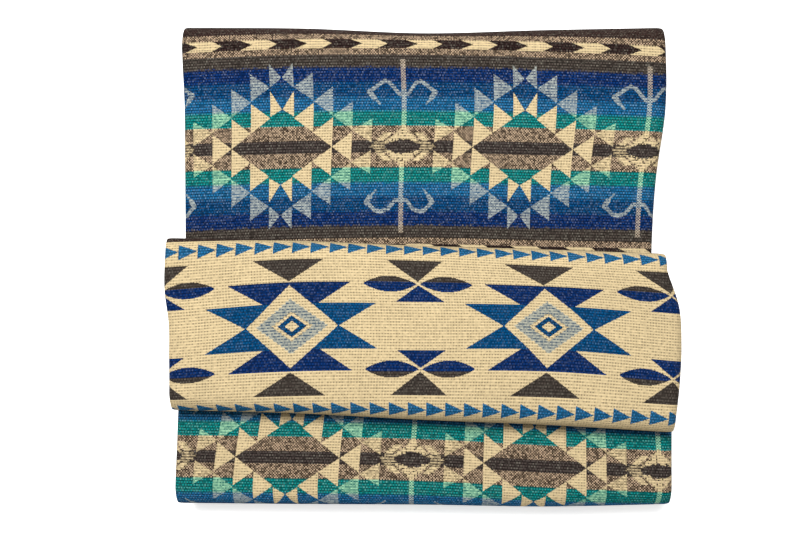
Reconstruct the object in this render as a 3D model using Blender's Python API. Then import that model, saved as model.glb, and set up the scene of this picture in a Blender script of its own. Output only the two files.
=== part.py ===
# A woven alpaca blanket, folded for display.
# The cloth is folded in thirds across its width into a strip of three layers.
# The strip then goes back and forth four times, with a box pleat raised on top.
# Frame: X along the strip's width, Y from the front fold to the back fold, Z up.
# The origin is under the middle of the blanket, on the surface that it lies on.

import math

import bmesh
import bpy

# Cloth, in metres
CLOTH_THICKNESS = 0.0052
LAYER_GAP = 0.0009
PASS_GAP = 0.0008

# The strip: three layers, one over another
STRIP_WIDTH = 0.500
LAYER_PITCH = CLOTH_THICKNESS + LAYER_GAP
STRIP_THICKNESS = 2 * LAYER_PITCH + CLOTH_THICKNESS
LEVEL_PITCH = STRIP_THICKNESS + PASS_GAP
INNER_HEM_SHORTFALL = 0.006
OUTER_HEM_SHORTFALL = 0.004

# The raised pleat is a little fuller in its middle, and a fold's corners draw in
PLEAT_CROWN = 0.003
CORNER_DRAW = 0.005

# Faces along each straight run and around each turn
RUN_STEPS_ACROSS = 6
TURN_STEPS_ACROSS = 4
RUN_STEPS_ALONG = 5
TURN_STEPS_ALONG = 6

# Each fold of the strip, from its hidden end to its lowest end.
# side: 1 is a fold that faces the back, -1 one that faces the front.
# before, after: the strip's level ahead of the fold and past it, 1 the lowest.
# left, middle, right: how far back the fold's edge reaches at those places.
# x_left, x_right: the strip's two sides at the fold.
# belly: how much the right side bulges, halfway along the run that leads to the fold.
FOLDS = (
    {"name": "hidden end", "side": 1, "before": 3, "after": 3, "belly": 0.0,
     "left": 0.2348, "middle": 0.2328, "right": 0.2358, "x_left": -0.2490, "x_right": 0.2480},
    {"name": "upper front fold", "side": -1, "before": 3, "after": 4, "belly": 0.0,
     "left": -0.2467, "middle": -0.2507, "right": -0.2482, "x_left": -0.2545, "x_right": 0.2555},
    {"name": "deep tuck", "side": 1, "before": 4, "after": 5, "belly": 0.0008,
     "left": -0.0452, "middle": -0.0502, "right": -0.0572, "x_left": -0.2480, "x_right": 0.2570},
    {"name": "pleat front edge", "side": -1, "before": 5, "after": 6, "belly": 0.0,
     "left": -0.1442, "middle": -0.1567, "right": -0.1692, "x_left": -0.2525, "x_right": 0.2510},
    {"name": "pleat back edge", "side": 1, "before": 6, "after": 5, "belly": 0.0075,
     "left": 0.0233, "middle": 0.0183, "right": 0.0093, "x_left": -0.2575, "x_right": 0.2490},
    {"name": "short tuck", "side": -1, "before": 5, "after": 4, "belly": 0.0,
     "left": -0.0427, "middle": -0.0477, "right": -0.0547, "x_left": -0.2450, "x_right": 0.2450},
    {"name": "back fold", "side": 1, "before": 4, "after": 2, "belly": 0.0025,
     "left": 0.2508, "middle": 0.2463, "right": 0.2503, "x_left": -0.2500, "x_right": 0.2480},
    {"name": "lower front fold", "side": -1, "before": 2, "after": 1, "belly": 0.0,
     "left": -0.2452, "middle": -0.2482, "right": -0.2462, "x_left": -0.2520, "x_right": 0.2550},
    {"name": "lowest end", "side": 1, "before": 1, "after": 1, "belly": 0.0,
     "left": 0.2388, "middle": 0.2408, "right": 0.2378, "x_left": -0.2490, "x_right": 0.2490},
)
FOLD_NAMED = {fold["name"]: fold for fold in FOLDS}

CREAM = (0.807, 0.651, 0.402, 1.0)
WOOL_ROUGHNESS = 0.95


def level_height(level):
    """Height of the middle of the strip at a level."""
    return STRIP_THICKNESS / 2 + (level - 1) * LEVEL_PITCH


def reach_of_fold(fold, across):
    """How far back a fold's edge is, across going from -1 at the left to 1 at the right."""
    bow = fold["middle"] - (fold["left"] + fold["right"]) / 2
    slope = (fold["right"] - fold["left"]) / 2
    straight = (fold["left"] + fold["right"]) / 2 + slope * across
    return straight + bow * math.cos(math.pi * across / 2)


def fold_radius(fold):
    """Radius of the strip's middle around a fold, and nothing at a bare end."""
    return abs(level_height(fold["after"]) - level_height(fold["before"])) / 2


def fold_centre(fold, across):
    """Y of the line that a fold turns around, or of a bare end."""
    reach = reach_of_fold(fold, across)
    if fold["before"] == fold["after"]:
        return reach
    return reach - fold["side"] * (fold_radius(fold) + STRIP_THICKNESS / 2)


def thirds_section():
    """The strip's section: (x, n, x of the face's outward direction, n of it) from hem to hem."""
    half = STRIP_WIDTH / 2
    tight = LAYER_PITCH / 2
    left_turn = -half + CLOTH_THICKNESS / 2 + tight
    right_turn = half - CLOTH_THICKNESS / 2 - LAYER_PITCH
    inner_hem = right_turn + LAYER_PITCH - CLOTH_THICKNESS / 2 - INNER_HEM_SHORTFALL
    outer_hem = -half + OUTER_HEM_SHORTFALL
    stations = []

    def run(start, end, height, facing):
        for step in range(RUN_STEPS_ACROSS + 1):
            x = start + (end - start) * step / RUN_STEPS_ACROSS
            stations.append((x, height, 0.0, facing))

    def turn(centre, height, radius, side, rising):
        for step in range(1, TURN_STEPS_ACROSS):
            angle = rising * math.pi * (step / TURN_STEPS_ACROSS - 0.5)
            out_x = side * math.cos(angle)
            out_n = math.sin(angle)
            stations.append((centre + radius * out_x, height + radius * out_n, out_x, out_n))

    run(inner_hem, left_turn, 0.0, -1.0)
    turn(left_turn, tight, tight, -1, 1)
    run(left_turn, right_turn, LAYER_PITCH, 1.0)
    turn(right_turn, 0.0, LAYER_PITCH, 1, -1)
    run(right_turn, outer_hem, -LAYER_PITCH, -1.0)
    return stations


def strip_stations():
    """The strip's length as (fold number, part of the run to it or None, part of its turn)."""
    stations = [(0, None, 1.0)]
    for number in range(1, len(FOLDS)):
        for step in range(1, RUN_STEPS_ALONG + 1):
            stations.append((number, step / RUN_STEPS_ALONG, 0.0))
        if fold_radius(FOLDS[number]) > 0:
            for step in range(1, TURN_STEPS_ALONG + 1):
                stations.append((number, None, step / TURN_STEPS_ALONG))
    return stations


def along_run(number, part, across, n):
    """A point's y and z on the straight run that leads to a fold."""
    start = fold_centre(FOLDS[number - 1], across)
    end = fold_centre(FOLDS[number], across)
    heading = FOLDS[number]["side"]
    z = level_height(FOLDS[number]["before"]) + heading * n
    return start + (end - start) * part, z


def around_fold(number, part, across, n):
    """A point's y and z on the turn of a fold."""
    fold = FOLDS[number]
    if fold_radius(fold) == 0:
        # the hidden end is the start of a run that leads to the front
        heading = -fold["side"] if number == 0 else fold["side"]
        return fold_centre(fold, across), level_height(fold["before"]) + heading * n
    rising = 1 if fold["after"] > fold["before"] else -1
    radius = fold_radius(fold) - fold["side"] * rising * n
    angle = rising * math.pi * (part - 0.5)
    middle = (level_height(fold["before"]) + level_height(fold["after"])) / 2
    y = fold_centre(fold, across) + fold["side"] * radius * math.cos(angle)
    return y, middle + radius * math.sin(angle)


def strip_sides(number, run_part, turn_part):
    """The strip's left and right x on the run to a fold, or around the fold."""
    after = FOLDS[number]
    if run_part is None:
        draw = CORNER_DRAW * math.sin(math.pi * turn_part)
        return after["x_left"] + draw, after["x_right"] - draw
    before = FOLDS[number - 1]
    ease = run_part * run_part * (3 - 2 * run_part)
    left = before["x_left"] + (after["x_left"] - before["x_left"]) * ease
    right = before["x_right"] + (after["x_right"] - before["x_right"]) * ease
    return left, right + after["belly"] * math.sin(math.pi * run_part)


def pleat_lift(across, y, z):
    """How much the raised pleat swells above its flat level."""
    front = FOLD_NAMED["pleat front edge"]
    back = FOLD_NAMED["pleat back edge"]
    low = level_height(front["after"]) - STRIP_THICKNESS / 2
    part = min(max((z - low) / STRIP_THICKNESS, 0.0), 1.0)
    front_y = reach_of_fold(front, across)
    back_y = reach_of_fold(back, across)
    along = (2 * y - front_y - back_y) / (back_y - front_y)
    bulge = max(0.0, 1 - along * along) * max(0.0, 1 - across * across)
    return PLEAT_CROWN * part * bulge


def folded_place(section, station, height):
    """Where a point of the flat cloth goes, height being its place in the thickness."""
    x, n, out_x, out_n = section
    number, run_part, turn_part = station
    x += height * out_x
    n += height * out_n
    across = 2 * x / STRIP_WIDTH
    if run_part is None:
        y, z = around_fold(number, turn_part, across, n)
    else:
        y, z = along_run(number, run_part, across, n)
    left, right = strip_sides(number, run_part, turn_part)
    place_x = left + (right - left) * (across + 1) / 2
    return place_x, y, z + pleat_lift(across, y, z)


def make_blanket(collection):
    """Fold a flat slab of cloth, one face for each step across and along."""
    across = thirds_section()
    along = strip_stations()
    steps_across = len(across) - 1
    steps_along = len(along) - 1
    cloth = bmesh.new()
    bmesh.ops.create_grid(cloth, x_segments=steps_across, y_segments=steps_along, size=0.5)
    back_face = bmesh.ops.extrude_face_region(cloth, geom=cloth.faces[:])
    lowered = [item for item in back_face["geom"] if isinstance(item, bmesh.types.BMVert)]
    bmesh.ops.translate(cloth, verts=lowered, vec=(0, 0, -1))
    bmesh.ops.recalc_face_normals(cloth, faces=cloth.faces[:])
    for vert in cloth.verts:
        section = across[round((vert.co.x + 0.5) * steps_across)]
        station = along[round((vert.co.y + 0.5) * steps_along)]
        side = 0.5 if vert.co.z > -0.5 else -0.5
        vert.co = folded_place(section, station, side * CLOTH_THICKNESS)
    mesh = bpy.data.meshes.new("blanket")
    cloth.to_mesh(mesh)
    cloth.free()
    mesh.shade_smooth()
    blanket = bpy.data.objects.new("blanket", mesh)
    collection.objects.link(blanket)
    return blanket


def wool_material():
    """Plain cream wool."""
    wool = bpy.data.materials.new("alpaca wool")
    wool.use_nodes = True
    shader = wool.node_tree.nodes["Principled BSDF"]
    shader.inputs["Base Color"].default_value = CREAM
    shader.inputs["Roughness"].default_value = WOOL_ROUGHNESS
    shader.inputs["Metallic"].default_value = 0.0
    return wool


def main():
    for thing in list(bpy.data.objects):
        bpy.data.objects.remove(thing, do_unlink=True)
    collection = bpy.data.collections.new("alpaca blanket")
    bpy.context.scene.collection.children.link(collection)
    blanket = make_blanket(collection)
    blanket.data.materials.append(wool_material())


main()
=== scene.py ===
# Looks of a folded alpaca blanket: soft folds, woven pattern, light and camera
import math
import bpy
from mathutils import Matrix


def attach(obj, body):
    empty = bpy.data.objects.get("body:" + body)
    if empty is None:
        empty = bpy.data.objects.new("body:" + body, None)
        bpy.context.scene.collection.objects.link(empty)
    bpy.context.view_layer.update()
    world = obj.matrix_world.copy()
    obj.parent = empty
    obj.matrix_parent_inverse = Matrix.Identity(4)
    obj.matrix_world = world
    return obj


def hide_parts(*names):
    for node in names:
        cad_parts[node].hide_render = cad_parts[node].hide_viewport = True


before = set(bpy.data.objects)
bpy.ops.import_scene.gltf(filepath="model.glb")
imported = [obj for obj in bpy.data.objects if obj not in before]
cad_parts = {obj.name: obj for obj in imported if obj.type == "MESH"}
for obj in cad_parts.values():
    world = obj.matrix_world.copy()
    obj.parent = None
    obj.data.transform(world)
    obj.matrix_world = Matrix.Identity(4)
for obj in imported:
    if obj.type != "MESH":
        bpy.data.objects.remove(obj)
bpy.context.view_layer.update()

from types import SimpleNamespace

import bmesh
import bpy
from mathutils import Vector, noise

millimetre = 0.001

# How the cloth is folded, in metres, and its faces across. The strip is the cloth folded in thirds.
cloth = {
    "thickness": 0.0052,
    "layerGap": 0.0009,
    "passGap": 0.0008,
    "stripWidth": 0.500,
    "innerHemShort": 0.006,
    "outerHemShort": 0.004,
    "pleatCrown": 0.003,
    "cornerSquare": 0.85,  # how far a fold's round corners are filled out, from 0 to 1
    "pleatLevel": 6,
    "topLevel": 4,
    "stepsHiddenPanel": 20,
    "stepsTopPanel": 96,
    "stepsLeftTurn": 8,
    "stepsRightTurn": 12,
}

# The low lumps and creases of the top layer: heights, sizes and distances in metres,
# and then a crease's width and slant, the fade at the sides and the seed, as ratios
lumpiness = {"lumpHeight": 0.0016, "lumpSize": 0.045, "creaseHeight": 0.0006, "creaseSize": 0.09,
             "clearOfPleat": 0.004, "fadeFromPleat": 0.015,
             "creaseWidth": 0.12, "creaseSlant": 3, "fadeFromSides": 0.05, "seed": 0.7}

# Each fold of the strip, from its hidden end to its lowest end.
# side: 1 faces the back, -1 the front. before, after: levels, 1 is the lowest.
# reach: how far back the fold's edge is at five even places from left to right.
# sides: the strip's two edges at the fold. draw: how much they draw in around it.
# slip: how far the pattern has slid sideways at the same five places.
# leftBulge, rightBulge: what the edges add at three places of the run to the fold.
# runSteps, turnSteps: faces on the run to the fold, and around it.
folds = (
    {"name": "hidden end", "side": 1, "before": 3, "after": 3, "draw": 0.0,
     "reach": (0.2348, 0.2335, 0.2328, 0.2340, 0.2358), "sides": (-0.2480, 0.2440),
     "slip": (0.0066, 0.0066, 0.0066, 0.0066, 0.0066),
     "leftBulge": (0, 0, 0), "rightBulge": (0, 0, 0),
     "runSteps": 0, "turnSteps": 0},
    {"name": "upper front fold", "side": -1, "before": 3, "after": 4, "draw": 0.0010,
     "reach": (-0.2486, -0.2498, -0.2505, -0.2524, -0.2498), "sides": (-0.2535, 0.2584),
     "slip": (0.0070, 0.0066, 0.0078, 0.0055, 0.0065),
     "leftBulge": (0.0015, 0.0050, 0.0020), "rightBulge": (-0.0060, -0.0175, -0.0080),
     "runSteps": 22, "turnSteps": 14},
    {"name": "deep tuck", "side": 1, "before": 4, "after": 5, "draw": 0.0,
     "reach": (-0.0452, -0.0475, -0.0502, -0.0538, -0.0572), "sides": (-0.2485, 0.2580),
     "slip": (0.0255, 0.0190, 0.0130, 0.0047, -0.0015),
     "leftBulge": (0.0005, 0, 0), "rightBulge": (0.0004, 0.001, 0.0008),
     "runSteps": 38, "turnSteps": 8},
    {"name": "pleat front edge", "side": -1, "before": 5, "after": 6, "draw": 0.0012,
     "reach": (-0.1492, -0.1525, -0.1590, -0.1642, -0.1716), "sides": (-0.2526, 0.2541),
     "slip": (0.0115, 0.0148, 0.0157, 0.0130, 0.0108),
     "leftBulge": (0, 0, 0), "rightBulge": (0, 0, 0),
     "runSteps": 6, "turnSteps": 14},
    {"name": "pleat back edge", "side": 1, "before": 6, "after": 5, "draw": 0.0,
     "reach": (0.0250, 0.0224, 0.0172, 0.0135, 0.0090), "sides": (-0.2580, 0.2470),
     "slip": (0.0172, 0.0185, 0.0188, 0.0160, 0.0135),
     "leftBulge": (0.0004, 0.0016, -0.0012), "rightBulge": (0.0055, 0.0098, 0.0103),
     "runSteps": 30, "turnSteps": 14},
    {"name": "short tuck", "side": -1, "before": 5, "after": 4, "draw": 0.0,
     "reach": (-0.0427, -0.0450, -0.0477, -0.0512, -0.0547), "sides": (-0.2450, 0.2402),
     "slip": (-0.0005, -0.0022, 0.0018, 0.0016, 0.0030),
     "leftBulge": (0, 0, 0), "rightBulge": (0, 0, 0),
     "runSteps": 4, "turnSteps": 8},
    {"name": "back fold", "side": 1, "before": 4, "after": 2, "draw": 0.0,
     "reach": (0.2530, 0.2522, 0.2472, 0.2505, 0.2530), "sides": (-0.2510, 0.2575),
     "slip": (-0.0020, -0.0023, -0.0018, -0.0019, 0.0023),
     "leftBulge": (0.0005, 0.0015, 0.0025), "rightBulge": (-0.0020, -0.0025, 0.0015),
     "runSteps": 56, "turnSteps": 18},
    {"name": "lower front fold", "side": -1, "before": 2, "after": 1, "draw": 0.0025,
     "reach": (-0.2452, -0.2468, -0.2482, -0.2478, -0.2462), "sides": (-0.2520, 0.2550),
     "slip": (0.0, 0.0, 0.0, 0.0, 0.0),
     "leftBulge": (0.0040, 0.0060, 0.0030), "rightBulge": (-0.0140, -0.0200, -0.0090),
     "runSteps": 22, "turnSteps": 12},
    {"name": "lowest end", "side": 1, "before": 1, "after": 1, "draw": 0.0,
     "reach": (0.2388, 0.2400, 0.2408, 0.2395, 0.2378), "sides": (-0.2490, 0.2490),
     "slip": (0.0, 0.0, 0.0, 0.0, 0.0),
     "leftBulge": (0.0030, 0.0050, 0.0020), "rightBulge": (-0.0080, -0.0170, -0.0100),
     "runSteps": 22, "turnSteps": 0},
)
foldNumber = {fold["name"]: number for number, fold in enumerate(folds)}

# Where the woven bands lie, at the same five places from left to right, in metres
bandLines = {
    "frontBandMiddle": (-0.1978, -0.1993, -0.2019, -0.2086, -0.2141),
    "pleatTopRow": (0.0085, 0.0150, 0.0123, 0.0065, 0.0015),
    "pleatMiddle": (-0.0735, -0.0643, -0.0640, -0.0654, -0.0760),
    "pleatBottomRow": (-0.1475, -0.1472, -0.1477, -0.1512, -0.1572),
    "backNavyEdge": (0.0335, 0.0380, 0.0395, 0.0368, 0.0345),
    "backBandMiddle": (0.1172, 0.1205, 0.1215, 0.1188, 0.1154),
    "backArrowRow": (0.2246, 0.2297, 0.2294, 0.2265, 0.2211),
    "bandSpacing": 0.345,
    "rowOffset": 0.079,
    "arrowOffset": 0.10535,
    "navyOffset": 0.0807,
}

layerPitch = cloth["thickness"] + cloth["layerGap"]
stripThickness = 2 * layerPitch + cloth["thickness"]
levelPitch = stripThickness + cloth["passGap"]


def levelHeight(level):
    return stripThickness / 2 + (level - 1) * levelPitch


def atFivePlaces(values, across):
    # smooth curve through five even places, across from -1 to 1
    place = (min(max(across, -1.0), 1.0) + 1) * 2
    left = min(int(place), 3)
    part = place - left
    ends = (2 * values[0] - values[1],) + tuple(values) + (2 * values[4] - values[3],)
    a, b, c, d = ends[left:left + 4]
    return b + part * ((c - a) / 2 + part * (a - 2.5 * b + 2 * c - d / 2
                                             + part * ((d - a) / 2 + 1.5 * (b - c))))


def foldRadius(fold):
    return abs(levelHeight(fold["after"]) - levelHeight(fold["before"])) / 2


def foldCentre(fold, across):
    reach = atFivePlaces(fold["reach"], across)
    if fold["before"] == fold["after"]:
        return reach
    return reach - fold["side"] * (foldRadius(fold) + stripThickness / 2)


def ease(part):
    part = min(max(part, 0.0), 1.0)
    return part * part * (3 - 2 * part)


def sectionAcross():
    # the cloth folded in thirds, hem to hem: x, height, facing x, facing height, width walked
    half = cloth["stripWidth"] / 2
    tight = layerPitch / 2
    leftTurn = -half + cloth["thickness"] / 2 + tight
    rightTurn = half - cloth["thickness"] / 2 - layerPitch
    innerHem = half - cloth["thickness"] - cloth["innerHemShort"]
    outerHem = -half + cloth["outerHemShort"]
    skin = cloth["thickness"] / 2
    stations = []

    def run(start, end, height, facing, steps, walked):
        for step in range(steps + 1):
            x = start + (end - start) * step / steps
            stations.append((x, height, 0.0, facing, walked + abs(x - start)))

    def turn(centre, height, radius, side, rising, steps, walked):
        for step in range(1, steps):
            angle = rising * math.pi * (step / steps - 0.5)
            outX = side * math.cos(angle)
            outHeight = math.sin(angle)
            stations.append((centre + radius * outX, height + radius * outHeight, outX, outHeight,
                             walked + (radius + skin) * math.pi * step / steps))

    hidden = cloth["stepsHiddenPanel"]
    leftLength = math.pi * (tight + skin)
    rightLength = math.pi * (layerPitch + skin)
    run(innerHem, leftTurn, 0.0, -1.0, hidden, leftTurn - leftLength - (innerHem - leftTurn))
    turn(leftTurn, tight, tight, -1, 1, cloth["stepsLeftTurn"], leftTurn - leftLength)
    run(leftTurn, rightTurn, layerPitch, 1.0, cloth["stepsTopPanel"], leftTurn)
    turn(rightTurn, 0.0, layerPitch, 1, -1, cloth["stepsRightTurn"], rightTurn)
    run(rightTurn, outerHem, -layerPitch, -1.0, hidden, rightTurn + rightLength)
    return stations


def stripStations():
    # along the strip: fold number, part of the run to it or None, part of its turn
    stations = [(0, None, 1.0)]
    for number, fold in enumerate(folds):
        for step in range(1, fold["runSteps"] + 1):
            stations.append((number, step / fold["runSteps"], 0.0))
        for step in range(1, fold["turnSteps"] + 1):
            stations.append((number, None, step / fold["turnSteps"]))
    return stations


def stripPoint(station, across, height):
    # y and z of a point at a height in the strip's own thickness
    number, runPart, turnPart = station
    fold = folds[number]
    if runPart is not None:
        start = foldCentre(folds[number - 1], across)
        end = foldCentre(fold, across)
        return start + (end - start) * runPart, levelHeight(fold["before"]) + fold["side"] * height
    if foldRadius(fold) == 0:
        heading = -fold["side"] if number == 0 else fold["side"]
        return foldCentre(fold, across), levelHeight(fold["before"]) + heading * height
    rising = 1 if fold["after"] > fold["before"] else -1
    radius = foldRadius(fold) - fold["side"] * rising * height
    angle = rising * math.pi * (turnPart - 0.5)
    middle = (levelHeight(fold["before"]) + levelHeight(fold["after"])) / 2
    y = foldCentre(fold, across) + fold["side"] * radius * math.cos(angle)
    return y, middle + radius * math.sin(angle)


def between(station, key):
    # a pair of the fold table, eased along the run to the fold
    number, runPart, turnPart = station
    after = folds[number][key]
    if runPart is None:
        return after
    before = folds[number - 1][key]
    part = ease(runPart)
    return tuple(a + (b - a) * part for a, b in zip(before, after))


def stripSides(station):
    number, runPart, turnPart = station
    left, right = between(station, "sides")
    fold = folds[number]
    if runPart is None:
        draw = fold["draw"] * math.sin(math.pi * turnPart)
        return left + draw, right - draw
    place = 2 * runPart - 1
    left += atFivePlaces((0,) + fold["leftBulge"] + (0,), place)
    return left, right + atFivePlaces((0,) + fold["rightBulge"] + (0,), place)


def roundedAway(x):
    # how much lower the strip's outer skin lies at its round edges than between them
    skin = cloth["thickness"] / 2
    left = -cloth["stripWidth"] / 2 + skin + layerPitch / 2
    right = cloth["stripWidth"] / 2 - skin - layerPitch
    if x < left:
        radius = layerPitch / 2 + skin
        away = min(left - x, radius)
    else:
        radius = layerPitch + skin
        away = min(max(x - right, 0.0), radius)
    return radius - math.sqrt(radius * radius - away * away)


def pleatEdges(across):
    front = atFivePlaces(folds[foldNumber["pleat front edge"]]["reach"], across)
    back = atFivePlaces(folds[foldNumber["pleat back edge"]]["reach"], across)
    return front, back


def lumps(x, y, size):
    return noise.noise(Vector((x / size, y / size, lumpiness["seed"])))


def softening(across, x, y, z):
    # the pleat swells a little, and the top layer lies in low lumps
    front, back = pleatEdges(across)
    pleatFloor = levelHeight(cloth["pleatLevel"]) - stripThickness / 2
    inPleat = min(max((z - pleatFloor) / stripThickness, 0.0), 1.0)
    along = (2 * y - front - back) / (back - front)
    bulge = max(0.0, 1 - along * along) * max(0.0, 1 - across * across)
    lift = cloth["pleatCrown"] * inPleat * bulge
    topFloor = levelHeight(cloth["pleatLevel"] if z > pleatFloor else cloth["topLevel"])
    inTop = ease((z - topFloor) / (stripThickness / 2))
    if z <= pleatFloor:
        clear = max(front - y, y - back) - lumpiness["clearOfPleat"]
        inTop *= ease(clear / lumpiness["fadeFromPleat"])
    inTop *= ease((1 - abs(across)) / lumpiness["fadeFromSides"])
    lump = 0.5 + 0.5 * lumps(x, y, lumpiness["lumpSize"])
    slanted = lumps(x + lumpiness["creaseSlant"] * y, y, lumpiness["creaseSize"])
    crease = max(0.0, 1 - abs(slanted) / lumpiness["creaseWidth"])
    return lift + inTop * (lumpiness["lumpHeight"] * lump + lumpiness["creaseHeight"] * crease)


def foldedPlace(section, station, height):
    x, n, outX, outN = section[:4]
    x += height * outX
    n += height * outN
    across = 2 * x / cloth["stripWidth"]
    y, z = stripPoint(station, across, n)
    number, runPart, turnPart = station
    if runPart is None and foldRadius(folds[number]) > 0 and "tuck" not in folds[number]["name"]:
        square = cloth["cornerSquare"] * roundedAway(x) * math.sin(math.pi * turnPart)
        y += folds[number]["side"] * square
    left, right = stripSides(station)
    placeX = left + (right - left) * (across + 1) / 2
    return Vector((placeX, y, z + softening(across, placeX, y, z)))


def walkAlong(stations, across):
    # length walked on the outer skin at each station, from the hidden end
    walked = [0.0]
    for before, after in zip(stations, stations[1:]):
        number, runPart, turnPart = after
        fold = folds[number]
        if runPart is None:
            tucked = fold["name"] in ("deep tuck", "short tuck")
            radius = foldRadius(fold) + (0 if tucked else stripThickness / 2)
            walked.append(walked[-1] + math.pi * radius / fold["turnSteps"])
        else:
            length = abs(foldCentre(fold, across) - foldCentre(folds[number - 1], across))
            walked.append(walked[-1] + length / fold["runSteps"])
    return walked


def walkedTo(stations, walked, runTo, y, across):
    # length walked when the top skin's run to a fold, or the turn at either end, comes to y
    number = foldNumber[runTo]
    before = folds[number - 1]
    fold = folds[number]
    start = foldCentre(before, across)
    end = foldCentre(fold, across)
    first = next(i for i, s in enumerate(stations) if s[0] == number) - 1
    last = first + fold["runSteps"]
    if y > end:
        radius = foldRadius(fold) + stripThickness / 2
        return walked[last] + radius * math.asin(min(1.0, (y - end) / radius))
    if y < start:
        radius = foldRadius(before) + stripThickness / 2
        return walked[first] - radius * math.asin(min(1.0, (start - y) / radius))
    return walked[first] + (y - start)


def throughThree(length, marks, places):
    # smooth curve through three marks, and even beyond them
    low, middle, high = marks
    if length > high:
        return places[2] + (length - high)
    if length < low:
        return places[0] + (length - low)
    atLow = (length - middle) * (length - high) / ((low - middle) * (low - high))
    atMiddle = (length - low) * (length - high) / ((middle - low) * (middle - high))
    atHigh = (length - low) * (length - middle) / ((high - low) * (high - middle))
    return places[0] * atLow + places[1] * atMiddle + places[2] * atHigh


def patternRows(stations, across):
    # the woven pattern's own length at each station, zero at the middle of the pleat's band
    walked = walkAlong(stations, across)

    def mark(line, runTo):
        return walkedTo(stations, walked, runTo, atFivePlaces(bandLines[line], across), across)

    frontMiddle = mark("frontBandMiddle", "deep tuck")
    pleatMarks = [mark(line, "pleat back edge")
                  for line in ("pleatBottomRow", "pleatMiddle", "pleatTopRow")]
    backMarks = [mark(line, "back fold")
                 for line in ("backNavyEdge", "backBandMiddle", "backArrowRow")]
    spacing = bandLines["bandSpacing"]
    rowOffset = bandLines["rowOffset"]
    backPlaces = (spacing - bandLines["navyOffset"], spacing, spacing + bandLines["arrowOffset"])

    frontEnd = max(i for i, s in enumerate(stations)
                   if s[0] == foldNumber["deep tuck"] and s[1] is not None)
    pleatStart = min(i for i, s in enumerate(stations)
                     if s[0] == foldNumber["pleat front edge"] and s[1] is None) - 1
    pleatEnd = max(i for i, s in enumerate(stations) if s[0] == foldNumber["pleat back edge"])
    backStart = max(i for i, s in enumerate(stations) if s[0] == foldNumber["short tuck"])
    rows = []
    for i, length in enumerate(walked):
        if i <= frontEnd:
            rows.append(-spacing + (length - frontMiddle))
        elif pleatStart <= i <= pleatEnd:
            rows.append(throughThree(length, pleatMarks, (-rowOffset, 0.0, rowOffset)))
        elif i >= backStart:
            rows.append(throughThree(length, backMarks, backPlaces))
        else:
            rows.append(None)
    for first, last in ((frontEnd, pleatStart), (pleatEnd, backStart)):
        for i in range(first + 1, last):
            part = (walked[i] - walked[first]) / (walked[last] - walked[first])
            rows[i] = rows[first] + (rows[last] - rows[first]) * part
    return rows


def makeBlanket():
    print("folding the blanket")
    sections = sectionAcross()
    stations = stripStations()
    stepsAcross = len(sections) - 1
    stepsAlong = len(stations) - 1
    slab = bmesh.new()
    bmesh.ops.create_grid(slab, x_segments=stepsAcross, y_segments=stepsAlong, size=0.5)
    lowered = bmesh.ops.extrude_face_region(slab, geom=slab.faces[:])
    under = [item for item in lowered["geom"] if isinstance(item, bmesh.types.BMVert)]
    bmesh.ops.translate(slab, verts=under, vec=(0, 0, -1))
    bmesh.ops.recalc_face_normals(slab, faces=slab.faces[:])
    rows = [patternRows(stations, 2 * section[0] / cloth["stripWidth"]) for section in sections]
    uvLayer = slab.loops.layers.uv.new("cloth")
    spots = {}
    for vert in slab.verts:
        across = round((vert.co.x + 0.5) * stepsAcross)
        along = round((vert.co.y + 0.5) * stepsAlong)
        section = sections[across]
        station = stations[along]
        side = 0.5 if vert.co.z > -0.5 else -0.5
        slip = atFivePlaces(between(station, "slip"), 2 * section[0] / cloth["stripWidth"])
        spots[vert] = (section[4] - slip, rows[across][along])
        vert.co = foldedPlace(section, station, side * cloth["thickness"])
    for face in slab.faces:
        face.smooth = True
        for loop in face.loops:
            loop[uvLayer].uv = spots[loop.vert]
    mesh = bpy.data.meshes.new("folded_blanket")
    slab.to_mesh(mesh)
    slab.free()
    piece = bpy.data.objects.new("folded_blanket", mesh)
    bpy.context.scene.collection.objects.link(piece)
    print("faces", len(mesh.polygons))
    return piece


class Loom:
    # adds the nodes of one material
    def __init__(self, name):
        self.material = bpy.data.materials.new(name)
        self.material.use_nodes = True
        self.tree = self.material.node_tree
        self.tree.nodes.clear()

    def node(self, kind, settings=None, inputs=None):
        made = self.tree.nodes.new(kind)
        for name, value in (settings or {}).items():
            if name == "stops":
                ramp = made.color_ramp
                while len(ramp.elements) < len(value):
                    ramp.elements.new(1.0)
                for element, (place, tone) in zip(ramp.elements, value):
                    element.position = place
                    element.color = tone
            else:
                setattr(made, name, value)
        for name, value in (inputs or {}).items():
            socket = made.inputs[name]
            if isinstance(value, Yarn):
                value = value.socket
            if isinstance(value, bpy.types.NodeSocket):
                self.tree.links.new(value, socket)
            else:
                socket.default_value = value
        return made

    def mix(self, factor, first, second):
        made = self.node("ShaderNodeMix", {"data_type": "RGBA"}, {0: factor, 6: first, 7: second})
        return made.outputs[2]


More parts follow.
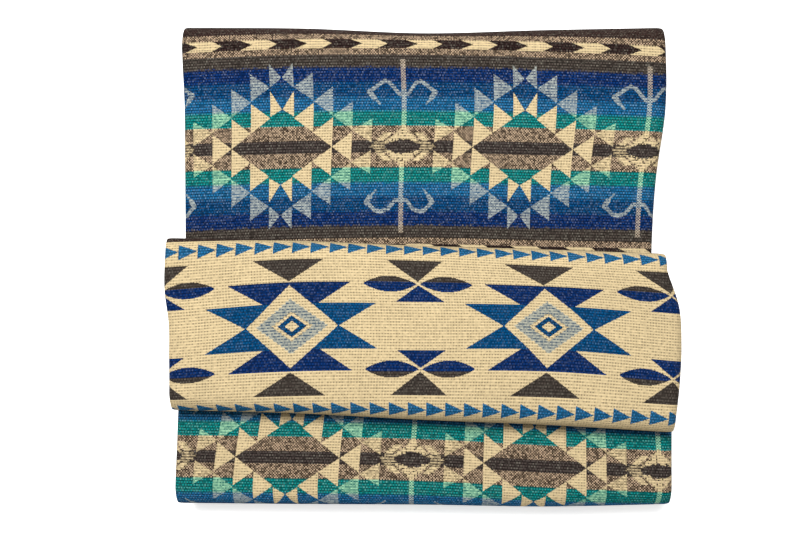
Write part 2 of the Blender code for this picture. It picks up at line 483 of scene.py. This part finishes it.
class Yarn:
    # a number in a material: sums on it add Math nodes
    def __init__(self, loom, socket):
        self.loom = loom
        self.socket = socket

    def maths(self, operation, *values):
        made = self.loom.node("ShaderNodeMath", {"operation": operation}, dict(enumerate(values)))
        return Yarn(self.loom, made.outputs[0])

    def __add__(self, other):
        return self.maths("ADD", self, other)

    def __radd__(self, other):
        return self.maths("ADD", other, self)

    def __sub__(self, other):
        return self.maths("SUBTRACT", self, other)

    def __rsub__(self, other):
        return self.maths("SUBTRACT", other, self)

    def __mul__(self, other):
        return self.maths("MULTIPLY", self, other)

    def __rmul__(self, other):
        return self.maths("MULTIPLY", other, self)

    def __truediv__(self, other):
        return self.maths("DIVIDE", self, other)

    def __mod__(self, other):
        return self.maths("FLOORED_MODULO", self, other)

    def __lt__(self, other):
        return self.maths("LESS_THAN", self, other)

    def __gt__(self, other):
        return self.maths("GREATER_THAN", self, other)

    def __abs__(self):
        return self.maths("ABSOLUTE", self)

    def __and__(self, other):
        return self.maths("MULTIPLY", self, other)

    def __or__(self, other):
        return self.maths("MAXIMUM", self, other)

    def floor(self):
        return self.maths("FLOOR", self)


# How much darker the yarn is dyed than it looks in the light
dyeDepth = 0.70


def colour(code):
    # a yarn's colour in linear light
    parts = [int(code[i:i + 2], 16) / 255 for i in (0, 2, 4)]
    linear = [p / 12.92 if p <= 0.04045 else ((p + 0.055) / 1.055) ** 2.4 for p in parts]
    return tuple(p * dyeDepth for p in linear) + (1.0,)


# The tones as they look in the light
yarns = {
    "cream": colour("EBD3A4"),
    "deepBrown": colour("2B1F1D"),
    "brown": colour("352723"),
    "charcoal": colour("3D3631"),
    "darkStripe": colour("3A322F"),
    "taupe": colour("241A15"),
    "paleTaupe": colour("C9AE90"),
    "navy": colour("082757"),
    "midBlue": colour("063A63"),
    "brightBlue": colour("17557D"),
    "teal": colour("0C6B68"),
    "toothBlue": colour("1C5981"),
    "starBlue": colour("04406A"),
    "paleBlue": colour("BDC3BA"),
    "paleTeal": colour("B0E4B8"),
    "haloDark": colour("4D5E6C"),
    "haloPale": colour("C2C1AE"),
}

# The weave and the pattern, in millimetres of cloth. Depths and the bump are shares,
# and the bump's height is in metres.
weave = {"cellAcross": 250 / 180, "cellAlong": 1.42, "repeat": 250.0, "diamondPlace": -145.5,
         "ribDepth": 0.82, "dotDepth": 0.52, "bump": 0.5, "bumpHeight": 0.0006,
         "fleckShift": (40.5, 7.5), "roughness": 0.92, "specular": 0.03}

# The ombre band from its middle line outwards: where each stripe ends, its yarn,
# the yarn woven over it, and how softly it passes into the next
ombre = (
    (6.3, "darkStripe", "cream", 0.3), (21.3, "taupe", "cream", 0.3),
    (36.3, "teal", "paleTeal", 1.4), (50.8, "brightBlue", "paleBlue", 0.8),
    (66.2, "midBlue", "paleBlue", 1.0), (80.7, "navy", "paleBlue", 0.8),
    (93.6, "charcoal", "paleBlue", 0.4), (118.0, "taupe", "cream", 0.3),
    (150.0, "brown", "cream", 0.3),
)
ombreReach = ombre[-1][0]
# Where the blues pass into each other yarn by yarn, and how far
blend = {"start": 37.0, "end": 84.0, "width": 3.0}
# Rows of triangles stepping out from the diamond's middle: each one's place and half height
innerTeeth = ((44.5, 12.9), (30.0, 15.0), (15.0, 15.0), (0.0, 15.0))
outerTeeth = ((73.6, 12.4), (61.5, 14.2), (46.5, 14.6), (31.5, 14.6), (16.5, 12.2))
toothSteps = {"first": 12.3, "firstGap": 0.4, "step": 20.1, "innerPoint": 38.9,
              "outerPoint": 71.0, "lowerSqueeze": 0.035}
arrows = {"middle": 105.35, "half": 5.45, "period": 56.6, "creamHead": 10.5,
          "darkHead": 13.0, "darkLength": 31.5, "place": 20.7}
hooks = {
    "upper": ((1.0, 52.6), (5.0, 54.0), (13.5, 65.0), (18.5, 67.0), (24.5, 63.4), (34.2, 55.6),
              (29.5, 49.5), (24.0, 43.6)),
    "upperHalf": (1.8, 1.8, 1.9, 1.9, 1.9, 2.6, 1.1),
    "lower": ((1.0, 54.4), (6.0, 55.2), (13.0, 64.0), (20.0, 66.8), (26.0, 65.5), (34.5, 57.0),
              (31.0, 51.5), (25.5, 45.0)),
    "lowerHalf": (1.7, 1.8, 2.0, 2.0, 2.0, 2.6, 1.1),
    "poleHalf": 2.35, "poleStart": 18.0, "poleEnd": 89.0, "poleFades": 58.0,
    "rightSqueeze": 0.06, "leftStretch": 0.03,
}
medallion = {"lens": (18.5, 7.6), "lensBlunt": 0.85, "bright": (23.5, 21.5), "brightFrom": 4.5,
             "gap": (26.2, 24.2), "gapFrom": 5.0, "soft": (34.0, 33.0), "softHeight": 14.5,
             "streakHeight": 6.5, "ragged": 2.4}
star = {
    "eye": (7.0, 5.2), "ring": (14.0, 10.6), "haloInner": (19.4, 14.1), "halo": (34.4, 26.3),
    "diamond": (44.0, 39.7), "wingRise": 21.8, "wingReach": (45.0, 81.9),
    "crownRise": 42.7, "crownReach": (26.6, 59.5),
    "capApex": 43.5, "capBase": 65.2, "capHalf": 34.6, "ragged": (1.4, 0.9),
}
leaf = {"reach": (1.5, 54.0), "middle": 41.2, "half": 8.0, "split": 43.2,
        "underApex": 40.0, "underBase": 23.4, "underHalf": 24.0, "capHalf": 27.5}
sawteeth = {"pitchAbove": 18.45, "pitchBelow": 18.62, "half": 7.6, "middle": 79.0,
            "phaseAbove": 3.6, "phaseBelow": 3.0}
creamBand = {"above": 91.5, "below": 106.0}
# How far the pale yarn covers the dark one in the half tones, from 0 to 1: by the cell's row,
# its place in the checker and its own fleck, with less on the poles and the medallion's streaks
cover = {"least": 0.22, "nearMiddle": 0.2, "byRow": 0.34, "byChecker": 0.16, "byFleck": 0.5,
         "poleByChecker": 0.5, "poleLess": 0.2, "farPoleLess": 0.22,
         "farPoleByChecker": 0.5, "farPoleByFleck": 0.2,
         "streakLess": 0.42, "streakByRow": 0.14, "feathersMore": 0.12}
# The single pale or dark cells in the taupe, in the halo and in the coloured pieces.
# From: the fleck, 0 to 1, above which a cell has its dot.
speckle = {"taupeByFleck": 1.3, "taupeLess": 0.21, "haloByRow": 0.6, "haloByFleck": 1.1,
           "haloLeast": 0.16, "brightFrom": 0.16, "paleFrom": 0.6, "paleLeast": 0.01,
           "paleByFleck": 0.07, "dotFrom": 0.1, "ribDotFrom": 0.2}
# How light a cell is, and how high it stands. Calm: how much quieter the cream band's pieces are.
lightness = {"usual": 0.92, "dot": 1.16, "row": 0.3, "calm": 0.3, "calmMore": 0.1,
             "colouredFleck": 0.3, "fleck": 0.2, "ringLess": 0.15}
relief = {"rib": 0.7, "dot": 0.5, "fleck": 0.25}
# How the dye varies: clouds and long streaks, their scale across and along, and their depth
dyeDrift = {"cloud": (0.02, 0.02), "streak": (0.03, 0.7), "cloudDepth": 0.12, "streakDepth": 0.14,
            "cloudDetail": 2.0, "streakDetail": 1.0, "least": 0.87}


def wrap(value, period):
    # centred remainder, from minus half a period to half a period
    return (value + period / 2) % period - period / 2


def segment(x, y, start, end, half):
    # a stroke from start to end
    dx = end[0] - start[0]
    dy = end[1] - start[1]
    along = ((x - start[0]) * dx + (y - start[1]) * dy) / (dx * dx + dy * dy)
    along = along.maths("MAXIMUM", 0.0, along)
    along = along.maths("MINIMUM", 1.0, along)
    offX = x - start[0] - along * dx
    offY = y - start[1] - along * dy
    return (offX * offX + offY * offY) < half * half


def rhomb(x, y, halves):
    return (x / halves[0] + y / halves[1]) < 1.0


def triangle(x, part, half):
    # part runs from nothing at the point to 1 at the base
    return (x < part * half) & (part < 1.0)


def steppedTeeth(x, y, table, firstPoint):
    # triangles whose outer sides stand on even steps; the first one leans to its point
    found = None
    for k, (middle, half) in enumerate(table):
        base = toothSteps["first"] + toothSteps["step"] * k
        if k == 0:
            length = toothSteps["first"] - toothSteps["firstGap"]
            part = (x - (base - length)) / length
            line = firstPoint + part * (middle - firstPoint)
        else:
            length = toothSteps["step"]
            part = (x - (base - length)) / length
            line = middle
        tooth = triangle(abs(y - line), part, half)
        found = tooth if found is None else found | tooth
    return found


def strokes(x, y, points, halves):
    drawn = None
    for start, end, half in zip(points, points[1:], halves):
        stroke = segment(x, y, start, end, half)
        drawn = stroke if drawn is None else drawn | stroke
    return drawn


def rampStops(column):
    # stripe stops, each pair set close or apart as the passage is crisp or soft
    stops = []
    start = 0.0
    softBefore = 0.0
    for stripe in ombre:
        end, soft = stripe[0], stripe[3]
        tone = yarns[stripe[column]]
        stops.append(((start + softBefore) / ombreReach, tone))
        stops.append(((end - soft) / ombreReach, tone))
        start = end
        softBefore = soft
    return stops


def weaveGrid(loom):
    # places in the cloth in millimetres, and the cell of the weave that each one lies in
    uv = loom.node("ShaderNodeUVMap", {"uv_map": "cloth"})
    parts = loom.node("ShaderNodeSeparateXYZ", None, {0: uv.outputs[0]})
    u = Yarn(loom, parts.outputs[0]) * (1.0 / millimetre)
    v = Yarn(loom, parts.outputs[1]) * (1.0 / millimetre)
    cellX = (u / weave["cellAcross"]).floor()
    cellY = (v / weave["cellAlong"]).floor()

    def middleOfHalfCell(place, cell):
        return ((place * 2.0 / cell).floor() + 0.5) * cell * 0.5

    def flecks(x, y):
        place = loom.node("ShaderNodeCombineXYZ", None, {0: x, 1: y})
        speckle = loom.node("ShaderNodeTexWhiteNoise", {"noise_dimensions": "2D"},
                            {"Vector": place.outputs[0]})
        return Yarn(loom, speckle.outputs[0])

    gridU = middleOfHalfCell(u, weave["cellAcross"])
    fromDiamond = abs(wrap(gridU - weave["diamondPlace"], weave["repeat"]))
    fleck = flecks(cellX, cellY)
    shiftX, shiftY = weave["fleckShift"]
    return SimpleNamespace(
        u=u, v=v, gridU=gridU, gridV=middleOfHalfCell(v, weave["cellAlong"]),
        oddX=cellX % 2.0, oddY=cellY % 2.0, checker=(cellX + cellY) % 2.0,
        twill=(cellX + (cellY / 2.0).floor()) % 2.0,
        fleck=fleck, fray=fleck - 0.5, fleckAgain=flecks(cellX + shiftX, cellY + shiftY),
        fromDiamond=fromDiamond, fromPole=weave["repeat"] / 2 - fromDiamond)


def ombreBand(loom, grid):
    # the ombre ground, and where the cream, the pale yarns and the pepper are woven over it
    spacing = bandLines["bandSpacing"] / millimetre
    up = wrap(grid.gridV - spacing, 2 * spacing)
    out = abs(up)
    fromDiamond, fromPole = grid.fromDiamond, grid.fromPole
    middleEnd, innerTaupeEnd, charcoalEnd, outerTaupeEnd = (ombre[i][0] for i in (0, 1, 6, 7))
    inBlues = (out > blend["start"]) & (out < blend["end"])
    shifted = (out + grid.fray * blend["width"] * inBlues) / ombreReach
    ground = loom.node("ShaderNodeValToRGB", {"stops": rampStops(1)}, {0: shifted}).outputs[0]
    overYarn = loom.node("ShaderNodeValToRGB", {"stops": rampStops(2)}, {0: shifted}).outputs[0]

    squeezed = out * ((up < 0.0) * toothSteps["lowerSqueeze"] + 1.0)
    cream = steppedTeeth(fromDiamond, squeezed, innerTeeth, toothSteps["innerPoint"])
    halfTone = steppedTeeth(fromDiamond, squeezed, outerTeeth, toothSteps["outerPoint"])
    pole = (fromPole < hooks["poleHalf"]) & (out > hooks["poleStart"]) & (out < hooks["poleEnd"])
    farPole = pole & (out > hooks["poleFades"])
    rightOfPole = wrap(grid.gridU - weave["diamondPlace"], weave["repeat"]) < 0.0
    hookReach = fromPole * (rightOfPole * (hooks["rightSqueeze"] + hooks["leftStretch"])
                            + (1.0 - hooks["leftStretch"]))
    halfTone = halfTone | pole
    halfTone = halfTone | strokes(hookReach, up, hooks["upper"], hooks["upperHalf"])
    halfTone = halfTone | strokes(hookReach, 0.0 - up, hooks["lower"], hooks["lowerHalf"])

    lensX, lensY = medallion["lens"]
    lensPart = fromPole / lensX
    fray = grid.fray * medallion["ragged"]
    lensEdge = (1.0 - lensPart * lensPart * medallion["lensBlunt"]) * lensY + fray
    lens = (out < lensEdge) & (lensPart < 1.0)
    ragged = (grid.oddY - 0.5) * medallion["ragged"] + fray
    bright = rhomb(fromPole + ragged, out, medallion["bright"]) & (out > medallion["brightFrom"])
    gap = rhomb(fromPole, out, medallion["gap"]) & (out > medallion["gapFrom"])
    soft = rhomb(fromPole + ragged, out, medallion["soft"]) & (out < medallion["softHeight"])
    soft = soft & (1.0 - gap)
    streaks = soft & (out < medallion["streakHeight"])
    feathers = soft & (out > medallion["streakHeight"])
    ground = loom.mix(lens, ground, yarns["darkStripe"])
    halfTone = halfTone | (soft & (1.0 - lens))
    cream = cream | (bright & (1.0 - lens) & (grid.fleckAgain > speckle["brightFrom"]))

    fromStripe = abs(out - arrows["middle"]) / arrows["half"]
    alongStripe = (grid.gridU - arrows["place"]) % arrows["period"]
    alongNext = alongStripe + fromStripe * arrows["darkHead"]
    pale = (alongNext > arrows["darkLength"]) & (
        (alongStripe + fromStripe * arrows["creamHead"]) < arrows["period"])
    inStripe = fromStripe < 1.0
    cream = cream | (inStripe & pale)
    ground = loom.mix(inStripe, ground, yarns["deepBrown"])

    cream = cream & (out < outerTaupeEnd)
    halfTone = halfTone & (out < outerTaupeEnd) & (1.0 - cream)
    innerTaupe = (out > middleEnd) & (out < innerTaupeEnd) & (1.0 - lens)
    outerTaupe = (out > charcoalEnd) & (out < outerTaupeEnd) & (1.0 - inStripe)
    covered = cover["least"] + (out < innerTaupeEnd) * cover["nearMiddle"]
    covered = covered + grid.oddY * cover["byRow"] + grid.checker * cover["byChecker"]
    covered = covered + grid.fray * cover["byFleck"]
    covered = covered + pole * (grid.checker * cover["poleByChecker"] - cover["poleLess"])
    covered = covered - farPole * cover["farPoleLess"]
    covered = covered - streaks * (cover["streakLess"] - grid.oddY * cover["streakByRow"])
    covered = covered + feathers * cover["feathersMore"]
    woven = loom.mix(halfTone & covered, ground, overYarn)
    pinker = grid.checker * cover["farPoleByChecker"] + grid.fleck * cover["farPoleByFleck"]
    woven = loom.mix(farPole & pinker, woven, yarns["paleTaupe"])
    return SimpleNamespace(woven=woven, cream=cream, halfTone=halfTone,
                           pepper=(innerTaupe | outerTaupe) & (1.0 - cream))


def creamBandPieces(loom, grid):
    # the band of stars and leaves, with rows of small triangles along both its edges
    spacing = bandLines["bandSpacing"] / millimetre
    band = wrap(grid.gridV, 2 * spacing)
    off = abs(band)
    below = band < 0.0
    fromDiamond, fromPole = grid.fromDiamond, grid.fromPole
    outsideDiamond = 1.0 - rhomb(fromDiamond, off, star["diamond"])
    capPart = (off - star["capApex"]) / (star["capBase"] - star["capApex"])
    caps = triangle(fromDiamond, capPart, star["capHalf"]) | triangle(fromPole, capPart, leaf["capHalf"])
    leafStart, leafEnd = leaf["reach"]
    leafPart = (fromPole - (leafStart + leafEnd) / 2) / ((leafEnd - leafStart) / 2)
    inLeaf = abs(off - leaf["middle"]) < (1.0 - leafPart * leafPart) * leaf["half"]
    dark = caps | (inLeaf & (off > leaf["split"]))

    crownPart = (off - star["wingRise"]) / (star["crownRise"] - star["wingRise"])
    crownStart, crownEnd = star["crownReach"]
    crownEdge = crownPart * (crownEnd - crownStart) + crownStart
    crown = (crownPart > 0.0) & (crownPart < 1.0) & (fromDiamond < crownEdge) & outsideDiamond
    underPart = (leaf["underApex"] - off) / (leaf["underApex"] - leaf["underBase"])
    navy = crown | triangle(fromPole, underPart, leaf["underHalf"]) | (inLeaf & (off < leaf["split"]))

    wingStart, wingEnd = star["wingReach"]
    wingEdge = off / star["wingRise"] * (wingEnd - wingStart)
    wing = (off < star["wingRise"]) & ((fromDiamond - wingStart) < wingEdge) & outsideDiamond
    ring = rhomb(fromDiamond, off, star["ring"]) & (1.0 - rhomb(fromDiamond, off, star["eye"]))
    blue = wing | ring
    byRow, byFleck = star["ragged"]
    ragged = fromDiamond + (grid.oddY - 0.5) * byRow + grid.fray * byFleck
    halo = rhomb(ragged, off, star["halo"]) & (1.0 - rhomb(ragged, off, star["haloInner"]))

    pitch = below * (sawteeth["pitchBelow"] - sawteeth["pitchAbove"]) + sawteeth["pitchAbove"]
    phase = below * (sawteeth["phaseBelow"] - sawteeth["phaseAbove"]) + sawteeth["phaseAbove"]
    alongTeeth = (grid.gridU - weave["diamondPlace"] - phase) % pitch
    tooth = abs(off - sawteeth["middle"]) < (1.0 - alongTeeth / pitch) * sawteeth["half"]

    woven = loom.mix(dark, yarns["cream"], yarns["charcoal"])
    for piece, yarn in ((navy, "navy"), (blue, "starBlue"), (tooth, "toothBlue"), (halo, "haloPale")):
        woven = loom.mix(piece, woven, yarns[yarn])
    inside = (band < creamBand["above"]) & (band > -creamBand["below"])
    return SimpleNamespace(woven=woven, inside=inside, ring=ring & inside, halo=halo & inside,
                           cream=inside & (1.0 - (dark | navy | blue | halo | tooth)))


def weavePattern(loom, grid):
    # the colour of each cell, how light it is and how high it stands
    print("weaving the pattern")
    ombreWeave = ombreBand(loom, grid)
    band = creamBandPieces(loom, grid)
    outside = 1.0 - band.inside
    cream = ombreWeave.cream & outside
    halfTone = ombreWeave.halfTone & outside
    pepper = ombreWeave.pepper & outside
    base = loom.mix(band.inside, ombreWeave.woven, band.woven)
    base = loom.mix(cream, base, yarns["cream"])
    haloShade = grid.oddY * speckle["haloByRow"] + grid.fray * speckle["haloByFleck"]
    haloShade = haloShade + speckle["haloLeast"]
    base = loom.mix(band.halo & haloShade, base, yarns["haloDark"])
    speck = grid.checker + grid.fray * speckle["taupeByFleck"] - speckle["taupeLess"]
    speck = speck.maths("MAXIMUM", 0.0, speck)
    base = loom.mix(pepper & (1.0 - halfTone) & speck, base, yarns["paleTaupe"])

    creamCover = cream | band.cream
    coloured = (1.0 - creamCover) & (1.0 - pepper) & (1.0 - halfTone) & (1.0 - band.halo)
    calm = band.inside * lightness["calm"]
    paleSpeck = speckle["paleLeast"] + grid.fleck * speckle["paleByFleck"]
    paleSpeck = coloured & (grid.fleckAgain > speckle["paleFrom"]) & paleSpeck & (1.0 - calm)
    base = loom.mix(paleSpeck, base, yarns["haloPale"])
    dots = grid.twill * (1.0 - grid.oddY) * (grid.fleckAgain > speckle["dotFrom"])
    lively = (1.0 - calm) * (dots * lightness["dot"] - grid.oddY * lightness["row"])
    shade = lightness["usual"] + coloured * (lively + calm * lightness["calmMore"])
    uneven = coloured * (1.0 - calm) * lightness["colouredFleck"] + lightness["fleck"]
    shade = shade + grid.fray * uneven - band.ring * lightness["ringLess"]
    ribLine = (1.0 - grid.oddY) & creamCover
    shade = shade - ribLine * (1.0 - weave["ribDepth"])
    ribDot = ribLine * grid.oddX
    deeper = weave["ribDepth"] - weave["dotDepth"]
    shade = shade - ribDot * (grid.fleckAgain > speckle["ribDotFrom"]) * deeper
    height = 1.0 - ribLine * relief["rib"] - ribDot * relief["dot"] + grid.fleck * relief["fleck"]
    return base, shade, height


def woolMaterial():
    print("dyeing the yarn")
    loom = Loom("alpaca_weave")
    grid = weaveGrid(loom)
    base, shade, height = weavePattern(loom, grid)

    def drifts(scales, detail):
        spot = loom.node("ShaderNodeCombineXYZ", None,
                         {0: grid.u * scales[0], 1: grid.v * scales[1]})
        soft = loom.node("ShaderNodeTexNoise", {"noise_dimensions": "2D"},
                         {"Vector": spot.outputs[0], "Scale": 1.0, "Detail": detail})
        return Yarn(loom, soft.outputs[0])

    cloud = drifts(dyeDrift["cloud"], dyeDrift["cloudDetail"]) * dyeDrift["cloudDepth"]
    streak = drifts(dyeDrift["streak"], dyeDrift["streakDetail"]) * dyeDrift["streakDepth"]
    level = shade * (cloud + streak + dyeDrift["least"])
    grey = loom.node("ShaderNodeCombineColor", None, {0: level, 1: level, 2: level})
    tinted = loom.node("ShaderNodeMix", {"data_type": "RGBA", "blend_type": "MULTIPLY"},
                       {0: 1.0, 6: base, 7: grey.outputs[0]})
    bump = loom.node("ShaderNodeBump", None,
                     {"Strength": weave["bump"], "Distance": weave["bumpHeight"],
                      "Height": height})
    shader = loom.node("ShaderNodeBsdfPrincipled", None,
                       {"Base Color": tinted.outputs[2], "Roughness": weave["roughness"],
                        "Specular IOR Level": weave["specular"], "Normal": bump.outputs[0]})
    loom.node("ShaderNodeOutputMaterial", None, {"Surface": shader.outputs[0]})
    return loom.material


# The white floor glows a little, as the photo's has almost no shadow
paper = {"size": 24.0, "tone": (0.93, 0.93, 0.93, 1.0), "glow": (1.0, 1.0, 1.0, 1.0),
         "glowStrength": 0.56, "roughness": 0.9, "specular": 0.1}


def paperFloor():
    bpy.ops.mesh.primitive_plane_add(size=paper["size"])
    floor = bpy.context.object
    floor.name = "paper_floor"
    loom = Loom("white_paper")
    shader = loom.node("ShaderNodeBsdfPrincipled", None,
                       {"Base Color": paper["tone"], "Roughness": paper["roughness"],
                        "Specular IOR Level": paper["specular"], "Emission Color": paper["glow"],
                        "Emission Strength": paper["glowStrength"]})
    loom.node("ShaderNodeOutputMaterial", None, {"Surface": shader.outputs[0]})
    floor.data.materials.append(loom.material)


light = {"worldStrength": 0.30, "boxPower": 69.0, "boxSize": 0.8, "boxPlace": (-0.25, 0.68, 2.05),
         "boxAim": (0.0, 0.0, 0.05)}


def studioLight():
    world = bpy.data.worlds.new("studio")
    bpy.context.scene.world = world
    world.use_nodes = True
    backdrop = world.node_tree.nodes["Background"]
    backdrop.inputs["Color"].default_value = (1.0, 1.0, 1.0, 1.0)
    backdrop.inputs["Strength"].default_value = light["worldStrength"]
    lampData = bpy.data.lights.new("soft_box", "AREA")
    lampData.energy = light["boxPower"]
    lampData.size = light["boxSize"]
    lamp = bpy.data.objects.new("soft_box", lampData)
    lamp.location = light["boxPlace"]
    aim = Vector(light["boxAim"]) - lamp.location
    lamp.rotation_euler = aim.to_track_quat("-Z", "Y").to_euler()
    bpy.context.scene.collection.objects.link(lamp)
    bpy.context.scene.view_settings.view_transform = "Standard"


# The photograph looks almost straight down, from a little in front
shot = {"aim": (-0.022, -0.0037, 0.08), "distance": 1.05, "tilt": 2.5, "lens": 46.04, "sensor": 36.0}


def overheadCamera():
    lensData = bpy.data.cameras.new("overhead")
    lensData.lens = shot["lens"]
    lensData.sensor_width = shot["sensor"]
    camera = bpy.data.objects.new("overhead", lensData)
    tilt = math.radians(shot["tilt"])
    x, y, z = shot["aim"]
    camera.location = (x, y - shot["distance"] * math.sin(tilt), z + shot["distance"] * math.cos(tilt))
    camera.rotation_euler = (tilt, 0.0, 0.0)
    bpy.context.scene.collection.objects.link(camera)
    bpy.context.scene.camera = camera


blanket = makeBlanket()
blanket.data.materials.append(woolMaterial())
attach(blanket, "root")
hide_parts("blanket")

print("setting the studio")
paperFloor()
studioLight()
overheadCamera()
